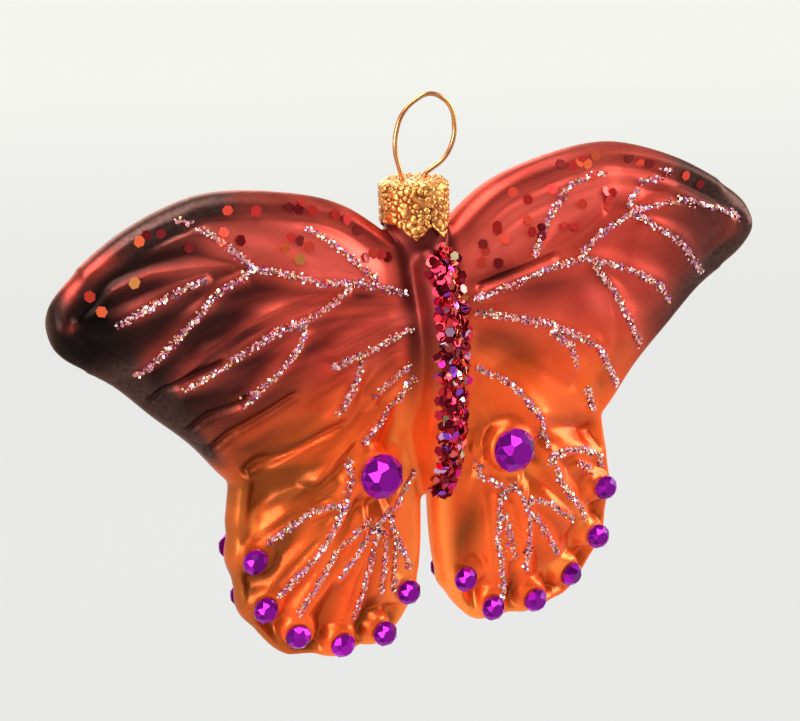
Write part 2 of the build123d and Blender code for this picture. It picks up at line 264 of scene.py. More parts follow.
def outer_skin(node):
    """The outside of the glass below a cut through its neck, closed at the cut."""
    bm = node_bmesh(node)
    level = neck_cut * MM
    tube = {v for v in bm.verts if v.co.xy.length < neck_reach * MM and v.co.z > neck_foot * MM}
    tube_faces = [f for f in bm.faces if all(v in tube for v in f.verts)]
    tube_edges = [e for e in bm.edges if all(v in tube for v in e.verts)]
    geom = list(tube) + tube_edges + tube_faces
    bmesh.ops.bisect_plane(bm, geom=geom, plane_co=(0, 0, level), plane_no=(0, 0, 1), clear_outer=True)
    outside = set(island_of(max(bm.verts, key=lambda v: v.co.x)))
    bmesh.ops.delete(bm, geom=[v for v in bm.verts if v not in outside], context="VERTS")
    at_cut = {v for v in bm.verts if abs(v.co.z - level) < 0.01 * MM}
    rim = [e for e in bm.edges if e.is_boundary and all(v in at_cut for v in e.verts)]
    bmesh.ops.holes_fill(bm, edges=rim)
    return bm


def even_grid(bm, size):
    """The same closed form on an even grid of quads, smoothed, and most of all at the wing tips."""
    mesh = through_modifier(to_mesh(bm, "rough"), "REMESH", mode="VOXEL", voxel_size=size * MM)
    even = bmesh.new()
    even.from_mesh(mesh)
    tips = [v for v in even.verts if abs(v.co.x) > tip_start * MM]
    for verts, rounds in ((even.verts, all_rounds), (tips, tip_rounds)):
        for number in range(rounds):
            bmesh.ops.smooth_vert(
                even, verts=verts, factor=0.5, use_axis_x=True, use_axis_y=True, use_axis_z=True,
            )
    even.to_mesh(mesh)
    even.free()
    return mesh


glass_mesh = even_grid(outer_skin("glass_butterfly"), grid_size)
print("glass grid:", len(glass_mesh.vertices), "vertices")

# %% Folds of the mould
wing_datum = -37.0  # height from which places on the wings are measured
# Ridges without glitter and sharp creases, -1 on the left and 1 on the right wings; each point lies
# so far out from the middle and so far up from the wing datum
folds = {
    -1: [
        [
            (40.4, 28.8), (45.8, 27.0), (51.0, 24.5), (52.2, 23.4),
            (50.1, 22.4), (44.9, 23.8), (36.2, 25.7),
        ],
        [(32.8, 19.9), (39.0, 20.4), (45.5, 20.3), (51.7, 19.1)],
        [(17.7, 13.8), (25.4, 12.8), (31.9, 10.7), (38.1, 7.8), (43.3, 3.3)],
        [(4.1, 8.3), (9.6, 7.8), (15.0, 6.1), (17.6, 5.1)],
        [(21.7, -14.4), (16.4, -9.7), (9.3, -5.6), (4.5, -2.3)],
        [(19.1, -15.7), (22.2, -17.6), (26.7, -19.4), (29.7, -21.6), (32.9, -24.2)],
        [(19.3, -21.3), (23.7, -24.6), (26.8, -27.9), (30.3, -32.6)],
        [(16.2, -28.5), (18.8, -30.5), (22.2, -34.3), (24.7, -38.1)],
        [(13.1, -28.2), (15.9, -32.2), (17.5, -38.1)],
    ],
    1: [
        [(7.8, 12.2), (18.4, 14.3), (27.1, 17.3), (31.4, 19.5)],
        [(7.5, 10.1), (17.4, 12.2), (26.0, 13.7)],
        [(6.3, 20.7), (9.1, 23.2), (12.6, 25.4), (16.7, 26.8)],
        [(7.2, 6.1), (19.2, 3.7), (22.9, 0.6), (25.4, -5.0)],
        [(29.3, 10.7), (31.3, 6.7), (32.3, 2.3), (32.1, -1.7)],
        [(7.9, -21.4), (8.9, -28.3), (9.7, -35.8), (11.4, -42.3)],
        [(12.5, -25.0), (14.3, -31.6), (15.9, -41.6)],
        [(16.3, -25.6), (18.9, -32.5), (23.0, -36.9)],
    ],
}
creases = {
    -1: [
        [(47.0, 0.8), (43.3, 2.9), (39.5, 4.4), (35.8, 5.9)],
        [(41.2, -4.8), (37.7, -3.0), (34.1, -1.6), (31.9, -0.2)],
        [(37.8, -8.1), (33.2, -5.8), (27.7, -3.3), (24.0, -1.5)],
        [(31.3, -12.4), (26.1, -10.1), (21.3, -8.1), (17.1, -6.4)],
    ],
    1: [
        [(8.5, 11.4), (17.4, 13.1), (21.8, 14.0)],
    ],
}


def line_distance(points, lines):
    """How far each point lies from the nearest of some lines, in millimetres."""
    best = np.full(len(points), 1000.0)
    for line in lines:
        for start, end in zip(line, line[1:]):
            run = np.subtract(end, start)
            along = np.clip((points - start) @ run / (run @ run), 0, 1)
            best = np.minimum(best, np.linalg.norm(points - start - along[:, None] * run, axis=1))
    return best


print("fold lines:", sum(map(len, folds.values())), "creases:", sum(map(len, creases.values())))

# %% [markdown]
# ## Relief
# The pattern of the mould is one depth for each vertex.  First the place of each vertex is measured:
# on which wing it is, and how far from the outline, a vein, a fold and a gem.  Smooth steps of these
# distances then make cells, creases, rolls and pleats, which add up.  Numbers are easier to tune than
# a sculpted mesh, and the same steps later tell the lacquer where its painted shade goes.

# %% Measures of each vertex
def smooth_step(low, high, values):
    """0 up to low, 1 from high on, and an even S between them; low may be the larger one."""
    share = np.clip((values - low) / (high - low), 0, 1)
    return share * share * (3 - 2 * share)


def vectors_of(items, label):
    """A vector property of mesh items, as rows of three numbers."""
    values = np.empty(len(items) * 3)
    items.foreach_get(label, values)
    return values.reshape(-1, 3)


def by_side(for_left, for_right):
    """One value on the left wings and another on the right ones."""
    return np.where(left, for_left, for_right)


count = len(glass_mesh.vertices)
spots = vectors_of(glass_mesh.vertices, "co") / MM
normals = vectors_of(glass_mesh.vertex_normals, "vector")
out = np.abs(spots[:, 0])
up = spots[:, 2] - wing_datum
left = spots[:, 0] < 0
hind = smooth_step(-8, -18, up)  # 1 on the hindwings, 0 on the forewings
print("on the left:", int(left.sum()), "on the hindwings:", int((hind > 0.5).sum()))

# %% Distances from lines
# From the outline of the wings, seen from the front
on_rim = (np.abs(normals[:, 1]) < 0.35) & ((out > 6) | (up < -23))
rim_tree = KDTree(int(on_rim.sum()))
for number, (x, y, z) in enumerate(spots[on_rim]):
    rim_tree.insert((x, 0, z), number)
rim_tree.balance()
rim = np.array([rim_tree.find((x, 0, z))[2] for x, y, z in spots])

# From the glitter lines, the folds and the creases
vein_nodes = sorted(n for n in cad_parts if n.startswith("vein_glitter"))
beads = node_bmesh(*vein_nodes)
bead_tree = BVHTree.FromBMesh(beads)
beads.free()
vein = np.array([bead_tree.find_nearest(spot)[3] for spot in spots * MM]) / MM
flat = np.column_stack((out, up))
fold = by_side(line_distance(flat, folds[-1]), line_distance(flat, folds[1]))
crease = by_side(line_distance(flat, creases[-1]), line_distance(flat, creases[1]))
for label, gaps in (("the outline", rim), ("a vein", vein)):
    print("farthest from", label, round(float(gaps.max()), 1), "mm")

# %% Seats of the gems
seat_edge = 0.4  # relief starts so far from a gem's edge
seat_reach = {"eye": 3.0, "edge": 2.0}  # and is whole again here
gem_nodes = sorted(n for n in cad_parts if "_gem_" in n)
gem_clear = np.ones(count)
gem_gap = np.full(count, 100.0)
for node in gem_nodes:
    low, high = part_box(node)
    centre = np.array((low + high) / 2) / MM
    radius = (high.z - low.z) / 2 / MM
    kind = node.split("_")[0]
    gap = np.linalg.norm(spots - centre, axis=1) - radius
    gem_clear = np.minimum(gem_clear, smooth_step(seat_edge, seat_reach[kind], gap))
    if kind == "edge":
        gem_gap = np.minimum(gem_gap, np.hypot(spots[:, 0] - centre[0], spots[:, 2] - centre[2]))
print("seats:", len(gem_nodes))

# %% Cells, creases and rolls
cell_depth, hind_depth = 1.15, 0.8  # sag of a cell, and what a hindwing adds to it
fore_width, hind_width = 1.9, 3.4  # distance over which a cell falls from its ridge
crease_depth, crease_width = 0.8, 0.65
roll_place, roll_width, roll_depth = 3.2, 0.8, 0.4  # place is the distance from the outline
second_place, second_width, second_depth = 6.0, 0.9, 0.3

ridge = np.minimum(vein, fold + 0.25)
pillow = 1 - np.exp(-((ridge / fore_width) ** 1.35))
pleat = np.clip(ridge / hind_width, 0, 1) ** 0.85
cell = pillow + (pleat - pillow) * hind
# Cells are shallow above the main veins and on the right forewing
above_vein = smooth_step(-1, 2.5, up - 10.3 - 0.32 * out) * (1 - smooth_step(34, 42, out))
depth = (cell_depth + hind_depth * hind) * (1 - 0.6 * above_vein) * (1 - 0.4 * ~left * (1 - hind))
margin = smooth_step(0.6, 4.5, rim) * (1 - hind) + smooth_step(0.6, 2.6, rim) * hind
sink = depth * cell * margin
sink += crease_depth * np.exp(-((crease / crease_width) ** 2)) * smooth_step(0, 1.2, rim)

# A thin roll runs along the leading edge, and a second one inside it on the right
leading = smooth_step(12, 18, up + 0.12 * out) * smooth_step(8, 16, out)
sink += roll_depth * np.exp(-(((rim - roll_place) / roll_width) ** 2)) * leading
sink += second_depth * np.exp(-(((rim - second_place) / second_width) ** 2)) * leading * ~left
print("mean sag:", round(float(sink.mean()), 2), "mm")

# %% Pleats, dents and scallops
fore_pleats, hind_pleats, pleat_depth = 46, 22, 0.16
dent_size, dent_depth = 9, 0.2
scallop_depth = by_side(1.0, 0.5)

# Pleats fan out from the wing roots, and dents come from the blowing
fore_turn = np.arctan2(up - 9, out + 4)
hind_turn = np.arctan2(out - 11, -9 - up)
far = smooth_step(14, 40, np.hypot(out, up - 9))
calm = by_side(1.0, 0.35 + 0.65 * hind)
pleats = calm * (1 - hind) * far * np.sin(fore_turn * fore_pleats)
pleats += hind * np.arcsin(np.sin(hind_turn * hind_pleats))
dents = np.array([noise.noise(Vector(spot) / dent_size) for spot in spots])
sink += pleat_depth * margin * (pleats + 1) + dent_depth * (dents + 0.5)
off_body = smooth_step(4.2, 8.0, out)
sink *= off_body * gem_clear * smooth_step(0.3, 0.7, np.abs(normals[:, 1]))

# The lower margin draws in between the gems
between = smooth_step(2.0, 5.0, gem_gap) * (1 - smooth_step(9, 14, gem_gap))
lower_edge = (1 - smooth_step(0, 4, rim)) * smooth_step(-20, -26, up) * smooth_step(5, 10, out)
sink += scallop_depth * between * lower_edge
moved = (spots - normals * sink[:, None]) * MM
glass_mesh.vertices.foreach_set("co", moved.ravel())
glass_mesh.update()
print("deepest relief:", round(float(sink.max()), 2), "mm")

# %% [markdown]
# ## Lacquer
# Silvered glass under coloured lacquer behaves like satin metal: it shows its colour in what it
# reflects.  Orange is sprayed first, red over the upper wings, and a dark brown along the leading
# edge, the tips and the margin.  Light and shade are painted into these colours too: painted shade
# in the valleys and other places, and painted highlights on open fields.  The sprays and the painted
# light fade over the surface, so they are kept as numbers on the vertices, and the material mixes
# the colours with a fine speckle.

# %% Red and brown sprays
# Red fades to orange down the wings, on a steeper line on the right
red_line = by_side(up + 0.16 * out - 1, up + 0.3 * out - 7)
red_spray = smooth_step(-9, 8, red_line + 2.5 * dents)

# Brown covers the outer forewings and a band along their margin
tipward = out + 0.2 * (18 - up)
# On the left the brown is heavier down in the cells than on the ridges: a painted shade
outer_left = smooth_step(20, 43, tipward) * smooth_step(-9, 5, up) * (0.45 + 0.55 * cell)
outer = by_side(outer_left, 0.9 * smooth_step(38, 54, tipward))
band_width = 8.0 - by_side(1.5, 3.0) * leading
band = (1 - smooth_step(0.5, band_width, rim)) * smooth_step(8, 26, out)
band *= by_side(0.65 + 0.35 * smooth_step(30, 42, out), 0.3 + 0.25 * leading)
brown_share = outer + (0.6 + 0.2 * leading) * band + 0.25 * dents * outer
dark_spray = smooth_step(-16, -7, up) * np.clip(brown_share, 0, 1)
for label, share in (("red", red_spray), ("brown", dark_spray)):
    print("share of", label, round(float(share.mean()), 2))

# %% [markdown]
# ### Painted shade and painted highlights
# In the valleys, on slopes that face down and in some other places the colour is darkened to deep
# amber and maroon: a painted shade.  On open fields it is lightened: a painted highlight.  Two more
# numbers keep how far a vertex leans to one or the other, and single spots that no rule gives are
# listed.

# %% Painted shade and painted highlights on the lacquer
# Painted shade in the valleys, in streaks and on slopes that face down
turned = vectors_of(glass_mesh.vertex_normals, "vector")
facing_down = np.clip(normals[:, 2] - turned[:, 2], 0, 1)
streaks = np.array([
    noise.noise(Vector((f, 0.05 * r, 0))) * (1 - h) + noise.noise(Vector((g, 0.05 * r, 9))) * h
    for f, g, h, r in zip(fore_turn * 17, hind_turn * 9, hind, np.hypot(out, up))
])
valley = smooth_step(0.25, 1.3 + 0.5 * hind, sink)
valley *= 0.8 - by_side(0.28, 0.4) * hind - 0.45 * above_vein
away = hind + (1 - hind) * (0.2 + 0.8 * smooth_step(12, 34, out))
pool = valley * away + 0.5 * streaks + (0.5 + 0.6 * away - 0.4 * hind) * facing_down
pool *= by_side(1.0, 0.35 + 0.35 * hind) * off_body

# Painted shade too beside the body, at the outer margin of the left hindwing and at the wing roots
flank = (0.95 - 0.85 * smooth_step(4, -14, up)) * (1 - smooth_step(4.5, 6.5, out))
outer_margin = (1 - smooth_step(1, 4, rim)) * hind * smooth_step(20, 28, out) * left
wing_root = (1 - smooth_step(1.5, 5.5, rim)) * (1 - hind) * (1 - smooth_step(16, 28, out)) * off_body
pool += flank + 0.8 * outer_margin + by_side(0.5, 0.3) * wing_root

# Painted highlights at the inner margin of the hindwings and in the fields above the main veins
inner_margin = hind * (1 - smooth_step(0.4, 3.0, rim)) * (1 - 0.8 * smooth_step(12, 24, out))
right_field = smooth_step(-0.5, 2.5, up - 10.2 - 0.3 * out) * (1 - smooth_step(36, 46, out))
field = by_side(above_vein, right_field) * smooth_step(1.5, 5.0, rim) * off_body
glow = inner_margin + 0.75 * field
# The share printed is that of the painted shade
print("share of thick lacquer:", round(float(np.clip(pool, 0, 1).mean()), 2))


# %% Single spots of painted shade and painted highlight
def soft_spot(side, centre, reach_long, reach_wide, angle):
    """1 in the middle of a soft oval on one side of the wings, fading to 0."""
    turn = math.radians(angle)
    across, along = out - centre[0], up - centre[1]
    first = (across * math.cos(turn) + along * math.sin(turn)) / reach_long
    second = (along * math.cos(turn) - across * math.sin(turn)) / reach_wide
    return np.exp(-(first**2 + second**2)) * (left if side < 0 else ~left)


# Spots of painted shade in deep amber and maroon: side, centre, half length, half width, angle in
# degrees, amount
pools = (
    (-1, (26.4, -15.6), 7.0, 3.0, -6, 0.8), (-1, (28.8, -27.2), 6.5, 2.4, -64, 0.9),
    (-1, (13.0, -40.0), 3.6, 1.5, -71, 0.5), (-1, (43.0, 9.0), 6.0, 1.8, -38, 0.6),
    (-1, (47.5, 21.5), 3.5, 1.3, -20, 0.7), (-1, (36.5, 9.2), 5.0, 1.2, -32, 0.4),
    (-1, (33.0, 1.2), 4.0, 1.2, -28, 0.6), (-1, (22.5, 13.9), 4.5, 0.9, -8, 0.35),
    (-1, (12.0, 12.6), 3.5, 0.9, 5, 0.7), (-1, (20.0, 6.4), 4.5, 1.0, -20, 0.5),
    (1, (5.4, -29.0), 6.5, 2.2, 79, 0.9), (1, (13.7, -40.0), 3.5, 1.4, -80, 0.6),
    (1, (32.6, -6.5), 4.5, 2.2, 60, 0.5), (1, (14.6, 0.4), 7.0, 2.4, -32, 0.7),
    (1, (12.0, 12.5), 4.5, 1.2, 10, 0.9), (1, (18.5, 9.6), 6.5, 2.6, 0, 0.6),
    (1, (30.0, 10.0), 2.6, 1.2, -50, 0.6), (1, (7.5, 2.0), 3.0, 2.0, 0, 0.5),
    (1, (10.6, -11.2), 3.0, 2.0, 0, 0.5), (-1, (27.0, -20.0), 4.0, 1.8, -40, 0.4),
)
# Spots of painted highlight, in the same terms
painted_highlight_spots = (
    (-1, (30.8, -21.3), 2.6, 1.0, 62, 0.6), (-1, (37.8, 20.8), 3.6, 1.5, -10, 0.8),
    (-1, (18.5, 17.0), 4.5, 2.0, 0, 0.6), (-1, (6.4, 8.2), 2.4, 1.4, 0, 0.7),
    (-1, (11.5, 1.5), 2.6, 1.4, -30, 0.6), (-1, (5.5, -15.0), 7.0, 2.0, 85, 0.9),
    (1, (3.6, -37.5), 3.0, 1.0, -60, 1.0), (1, (27.5, -30.0), 3.0, 1.2, -60, 1.0),
    (1, (23.2, -37.3), 4.0, 1.6, 28, 0.9), (1, (29.8, 6.0), 3.4, 1.8, -55, 0.7),
    (1, (14.7, -20.1), 3.0, 1.4, 0, 0.6), (-1, (6.5, -35.0), 6.0, 2.2, -65, 0.8),
)
# Places at the left tip where the dark spray is thinned so that red shows through as painted glints
painted_glint_spots = (
    (-1, (57.6, 19.5), 2.2, 1.0, -60, 0.6), (-1, (53.4, 22.0), 3.8, 1.2, -25, 0.7),
    (-1, (58.4, 14.6), 1.4, 1.1, 0, 0.6),
)
print("single spots:", len(pools) + len(painted_highlight_spots) + len(painted_glint_spots))


# %% Sprays and painted light on the vertices
def point_values(mesh, name, values):
    """Keeps one number for each vertex, for a material to read."""
    mesh.attributes.new(name, "FLOAT", "POINT").data.foreach_set("value", np.asarray(values, np.float32))


# The black patch at the left tip, black lacquer and partly a painted dark reflection, and the dark lower
# margin of that wing
patch_centre, patch_radius = (56.0, 12.4), 8.6
patch_gap = np.hypot(out - patch_centre[0], up - patch_centre[1]) / patch_radius
patch = left * (1 - smooth_step(0.5, 1.0, patch_gap + 0.3 * dents))
dark_spray = dark_spray + 0.65 * soft_spot(-1, (39.0, -7.6), 6.5, 1.8, 40)
for *spot, amount in pools:
    pool = pool + amount * soft_spot(*spot)
for *spot, amount in painted_highlight_spots:
    glow = glow + amount * soft_spot(*spot)
for *spot, amount in painted_glint_spots:
    glint_thinning = 1 - amount * soft_spot(*spot)
    dark_spray, patch = dark_spray * glint_thinning, patch * glint_thinning
sprays_and_painted_light = {"red_spray": red_spray, "dark_spray": dark_spray, "patch": patch, "pool": pool, "glow": glow}
for label, values in sprays_and_painted_light.items():
    point_values(glass_mesh, label, np.clip(values, 0, 1))
print("sprays:", list(sprays_and_painted_light))

# %% Lacquer
lacquer = Finish(
    "satin lacquer on silvered glass", Specular_IOR_Level=0.35, Specular_Tint=(1.0, 0.72, 0.62, 1),
)
speckle = lacquer.uneven(1600, 0.3, 0.7)
drift = lacquer.uneven(130, 0.3, 0.7)
pooled = lacquer.attribute("pool")
orange = lacquer.mix(drift["Mask"], (0.88, 0.078, 0.012), (0.95, 0.145, 0.024))
# Painted shade: the orange turns dark amber
orange = lacquer.mix(lacquer.combine("MULTIPLY", pooled, 0.92), orange, (0.17, 0.036, 0.004))
# Painted highlight: the orange turns light orange
orange = lacquer.mix(lacquer.attribute("glow"), orange, (0.98, 0.24, 0.045))
red = lacquer.mix(drift["Mask"], (0.52, 0.042, 0.028), (0.64, 0.070, 0.042))
# Painted shade: the red turns dark maroon
red = lacquer.mix(pooled, red, (0.095, 0.010, 0.009))
# Painted highlight: the red turns light red
red = lacquer.mix(lacquer.attribute("glow"), red, (0.90, 0.120, 0.085))
coloured = lacquer.mix(lacquer.attribute("red_spray"), orange, red)
brown = lacquer.mix(speckle["Mask"], (0.045, 0.019, 0.016), (0.085, 0.042, 0.036))
# Painted shade: the brown turns darker
brown = lacquer.mix(pooled, brown, (0.020, 0.007, 0.006))
coloured = lacquer.mix(lacquer.attribute("dark_spray"), coloured, brown)
# The black patch is black lacquer and partly a painted dark reflection
lacquer.feed(lacquer.mix(lacquer.attribute("patch"), coloured, (0.004, 0.002, 0.002)), "Base Color")
lacquer.feed(lacquer.remap(lacquer.attribute("red_spray"), 0, 1, 0.62, 0.78), "Metallic")
thickness = lacquer.remap(lacquer.attribute("red_spray"), 0, 1, 0.78, 1.0)
satin = lacquer.remap(drift["Mask"], 0, 1, 0.34, 0.42)
lacquer.feed(lacquer.combine("MULTIPLY", thickness, satin), "Roughness")
lacquer.bump(speckle["Height"], 0.06, 0.0001)
print("nodes of the lacquer:", len(lacquer.nodes))

# %% [markdown]
# ## Pieces
# Every finished piece is a mesh at the origin that rides on a body, takes its finish from a slot and
# may stand for some solids.  One helper does all of that, so no step can forget one of them.  The
# wings are the first piece, and stand for the solid of the glass.

# %% The wings
def dress(mesh, material):
    """Gives a mesh one material and no other."""
    mesh.materials.clear()
    mesh.materials.append(material)


def add_piece(name, mesh, material, body, nodes=(), smooth=True):
    """Links a mesh as a piece of the object and prints its size."""
    mesh.name = name
    dress(mesh, material)
    mesh.polygons.foreach_set("use_smooth", [smooth] * len(mesh.polygons))
    obj = bpy.data.objects.new(name, mesh)
    scene.collection.objects.link(obj)
    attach(obj, body)
    if nodes:
        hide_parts(*nodes)
    print(name, "faces:", len(mesh.polygons))


add_piece(
    "blown_wings", glass_mesh, lacquer.material, "butterfly", ["glass_butterfly"],
)

# %% [markdown]
# ## The neck
# Above the cut the glass is a plain tube with a fire-polished lip.  It shows when the cap is pulled
# off.  A profile of a few points is turned about the upright axis step by step, and faces join each
# ring of points to the next.  The spin operator does the same, but in an order that varies.

# %% Neck
neck_outer, neck_inner = 4.7, 3.8  # radii
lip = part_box("ornament_cap")[1].z / MM - 0.45  # just below the top of the cap
foot = neck_cut - 1.0  # a little below the cut
profile = [
    (neck_outer, foot), (neck_outer, lip - 0.4), (neck_outer - 0.12, lip - 0.12),
    (neck_outer - 0.4, lip), (neck_inner + 0.1, lip), (neck_inner, lip - 0.1), (neck_inner, foot),
]
neck_steps = 64
bm = bmesh.new()
rings = []
for step in range(neck_steps):
    turn = Matrix.Rotation(math.tau * step / neck_steps, 3, "Z")
    rings.append([bm.verts.new(turn @ Vector((r, 0, z)) * MM) for r, z in profile])
for ring, after in zip(rings, rings[1:] + rings[:1]):
    for number in range(len(profile)):
        bm.faces.new((ring[number - 1], ring[number], after[number], after[number - 1]))
bmesh.ops.recalc_face_normals(bm, faces=bm.faces)
neck_mesh = to_mesh(bm, "neck")
# Red lacquer with a little brown, and half of the painted shade
for label, value in (("red_spray", 1.0), ("dark_spray", 0.25), ("pool", 0.5)):
    point_values(neck_mesh, label, [value] * len(neck_mesh.vertices))
add_piece("glass_neck", neck_mesh, lacquer.material, "butterfly")

# %% [markdown]
# ## Flakes
# Glitter and sequins are the same thing in two sizes: hexagons punched from coloured foil.  One
# hexagon prism is made with an operator and copied to many places.  Each copy gets one random tone,
# which its material turns into a colour of foil.  Flakes lie on the glass, so their places come from
# the glued solids, dropped onto the dressed glass.

# %% Flakes
def strew(name, places, tones):
    """One mesh of flat hexagons, one at each matrix, with its tone."""
    one = bmesh.new()
    bmesh.ops.create_cone(one, cap_ends=True, segments=6, radius1=1, radius2=1, depth=1)
    corners = len(one.verts)
    flake = bpy.data.meshes.new("flake")
    heap = bmesh.new()
    for matrix in places:
        copy = one.copy()
        copy.transform(matrix)
        copy.to_mesh(flake)
        copy.free()
        heap.from_mesh(flake)
    one.free()
    bpy.data.meshes.remove(flake)
    mesh = to_mesh(heap, name)
    point_values(mesh, "tone", np.repeat(tones, corners))
    return mesh


def foil_finish(name, metallic, roughness, tones):
    """A material whose colour each flake's tone picks from a list of steps."""
    finish = Finish(name, Metallic=metallic, Roughness=roughness)
    finish.feed(finish.ramp(finish.attribute("tone"), tones, constant=True), "Base Color")
    print(name, "colours:", len(tones))
    return finish.material


seed = 7
chance = random.Random(seed)
print("seed of the flakes:", seed)

# %% Places for flakes
bm = bmesh.new()
bm.from_mesh(glass_mesh)
glass_tree = BVHTree.FromBMesh(bm)
bm.free()


def lay_flake(spot, lift, tilt, radius, thickness):
    """The matrix of one flake on the glass nearest a spot, raised and tipped at random."""
    point, normal = glass_tree.find_nearest(spot)[:2]
    lean = Vector([chance.gauss(0, tilt) for axis in range(3)])
    facing = (normal + lean).normalized()
    turn = facing.to_track_quat("Z", "Y") @ Quaternion((0, 0, 1), chance.uniform(0, math.pi / 3))
    size = Matrix.Diagonal((radius * MM, radius * MM, thickness * MM, 1))
    return Matrix.Translation(point + normal * lift * MM) @ turn.to_matrix().to_4x4() @ size


def scatter_on(node, count_per_mm2, keep):
    """Random spots on the triangles of a solid whose normal keep() accepts, evenly by area."""
    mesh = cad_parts[node].data
    mesh.calc_loop_triangles()
    kept = [t for t in mesh.loop_triangles if keep(t.normal)]
    areas = [t.area / MM**2 for t in kept]
    number = round(sum(areas) * count_per_mm2)
    found = []
    for t in chance.choices(kept, areas, k=number):
        a, b, c = (mesh.vertices[i].co for i in t.vertices)
        r, s = chance.random(), chance.random()
        if r + s > 1:
            r, s = 1 - r, 1 - s
        found.append(a + (b - a) * r + (c - a) * s)
    return found


def tones_for(places, low=0.0, high=1.0):
    """A random tone for each flake."""
    return [chance.uniform(low, high) for matrix in places]


print("faces to lay flakes on:", len(glass_mesh.polygons))

# %% [markdown]
# ## Glitter lines
# Fine glitter in clear glue follows the veins.  The flakes are about 0.4 mm across, lie at all angles
# and cover the glue, so the line is built from flakes alone.

# %% Glitter
glitter = foil_finish("fine pink and silver glitter", metallic=0.9, roughness=0.18, tones=[
    (0.00, (0.92, 0.50, 0.45)),
    (0.22, (0.76, 0.26, 0.36)),
    (0.42, (0.48, 0.20, 0.52)),
    (0.54, (0.85, 0.55, 0.26)),
    (0.68, (0.98, 0.80, 0.72)),
    # A dark tone for flakes in painted shade
    (0.82, (0.30, 0.08, 0.12)),
    (0.92, (0.70, 0.26, 0.16)),
])

# %% Strokes that join the lines
# Start and end of each: out from the middle and up from the wing datum
joins = {
    "left_fore": [
        (29.5, 19.0, 31.0, 20.5), (31.5, 18.0, 29.5, 19.0), (10.5, 15.5, 9.0, 14.0),
        (15.0, 13.5, 14.3, 14.6), (22.5, 8.5, 22.6, 10.2), (13.0, 2.5, 13.2, 3.7),
        (6.5, 12.5, 4.4, 11.6), (6.5, 6.0, 4.4, 6.5), (7.0, -0.5, 4.8, 0.8), (6.0, -3.5, 4.6, -1.2),
    ],
    "right_fore": [
        (26.5, 13.0, 28.0, 13.0), (27.5, 14.5, 26.8, 13.0), (37.0, 19.0, 36.5, 20.5),
        (37.0, 19.0, 39.0, 19.5), (39.5, 17.5, 37.8, 18.9), (29.5, 11.0, 28.8, 12.5),
        (21.0, 2.0, 21.3, 3.0), (56.0, 17.0, 57.6, 15.6), (34.5, -8.5, 35.2, -9.9),
        (18.0, -11.5, 19.6, -16.5),
    ],
    "left_hind": [
        (17.5, -19.5, 18.8, -19.0), (18.5, -21.0, 17.5, -19.5), (16.5, -15.0, 16.2, -12.3),
        (14.0, -22.8, 12.5, -23.0), (13.0, -24.8, 11.4, -24.2), (11.3, -25.0, 11.0, -23.2),
        (9.8, -26.0, 10.9, -24.4), (8.0, -24.0, 8.9, -22.6), (5.8, -29.5, 6.7, -28.6),
        (4.8, -18.8, 3.4, -17.0),
    ],
    "right_hind": [
        (20.0, -17.5, 19.7, -19.0), (13.0, -22.0, 14.2, -23.2), (13.0, -22.0, 11.0, -23.5),
        (11.8, -27.0, 10.6, -26.4), (17.2, -28.0, 15.9, -26.8), (16.5, -24.6, 15.4, -25.6),
        (31.5, -21.0, 32.4, -23.0), (12.0, -39.0, 11.9, -41.2), (7.5, -19.5, 7.8, -17.5),
    ],
}
stroke_spread = 0.2


def stroke_spots(strokes, side, face, count_per_mm):
    """Random spots along short strokes, dropped on the glass from the front or the back."""
    found = []
    for out_a, up_a, out_b, up_b in strokes:
        for number in range(round(math.hypot(out_b - out_a, up_b - up_a) * count_per_mm)):
            share = chance.random()
            x = side * (out_a + (out_b - out_a) * share) + chance.gauss(0, stroke_spread)
            z = wing_datum + up_a + (up_b - up_a) * share + chance.gauss(0, stroke_spread)
            hit = glass_tree.ray_cast(Vector((x, face * 30, z)) * MM, Vector((0, -face, 0)))[0]
            if hit:
                found.append(hit)
    return found


print("strokes:", sum(map(len, joins.values())))

# %% Vein glitter
crest_density, skirt_density = 23.0, 4.0  # flakes on a square millimetre
stroke_density = 18  # flakes on a millimetre
line_spread = 0.17
for node in vein_nodes:
    face = -1 if "_front_" in node else 1
    side = -1 if "_left_" in node else 1
    crest = scatter_on(node, crest_density, lambda normal: normal.y * face > 0.8)
    skirts = scatter_on(node, skirt_density, lambda normal: 0.1 < normal.y * face <= 0.8)
    wing = "_".join(node.split("_")[-2:])
    strokes = stroke_spots(joins[wing], side, face, stroke_density)
    places = []
    for spot in crest + skirts + strokes:
        aside = Vector((chance.gauss(0, line_spread), 0, chance.gauss(0, line_spread))) * MM
        places.append(lay_flake(
            spot + aside, lift=chance.uniform(0.02, 0.28), tilt=0.5,
            radius=chance.uniform(0.13, 0.28), thickness=0.025,
        ))
    name = node.replace("vein_glitter", "glitter_line")
    flakes = strew(name, places, tones_for(places))
    add_piece(name, flakes, glitter, "butterfly", [node], smooth=False)

# %% [markdown]
# ## Loose sequins
# Larger red hexagons were dropped on the wet lacquer of the upper wings.  Each solid sequin gives one
# place, and some have one or two more beside them.

# %% Red foil
foil = foil_finish("red foil sequins", metallic=0.7, roughness=0.17, tones=[
    (0.00, (0.55, 0.024, 0.020)),
    (0.32, (0.76, 0.062, 0.032)),
    (0.56, (0.20, 0.008, 0.010)),
    (0.82, (0.86, 0.13, 0.045)),
    (0.95, (0.68, 0.24, 0.060)),
])


# %% Wing sequins
def island_centres(node):
    """The middle of each separate solid in a node."""
    bm = node_bmesh(node)
    centres, done = [], set()
    for start in bm.verts:
        if start not in done:
            island = island_of(start)
            done.update(island)
            centres.append(sum((vert.co for vert in island), Vector()) / len(island))
    bm.free()
    return sorted(centres, key=lambda c: (round(c.x, 5), round(c.z, 5)))


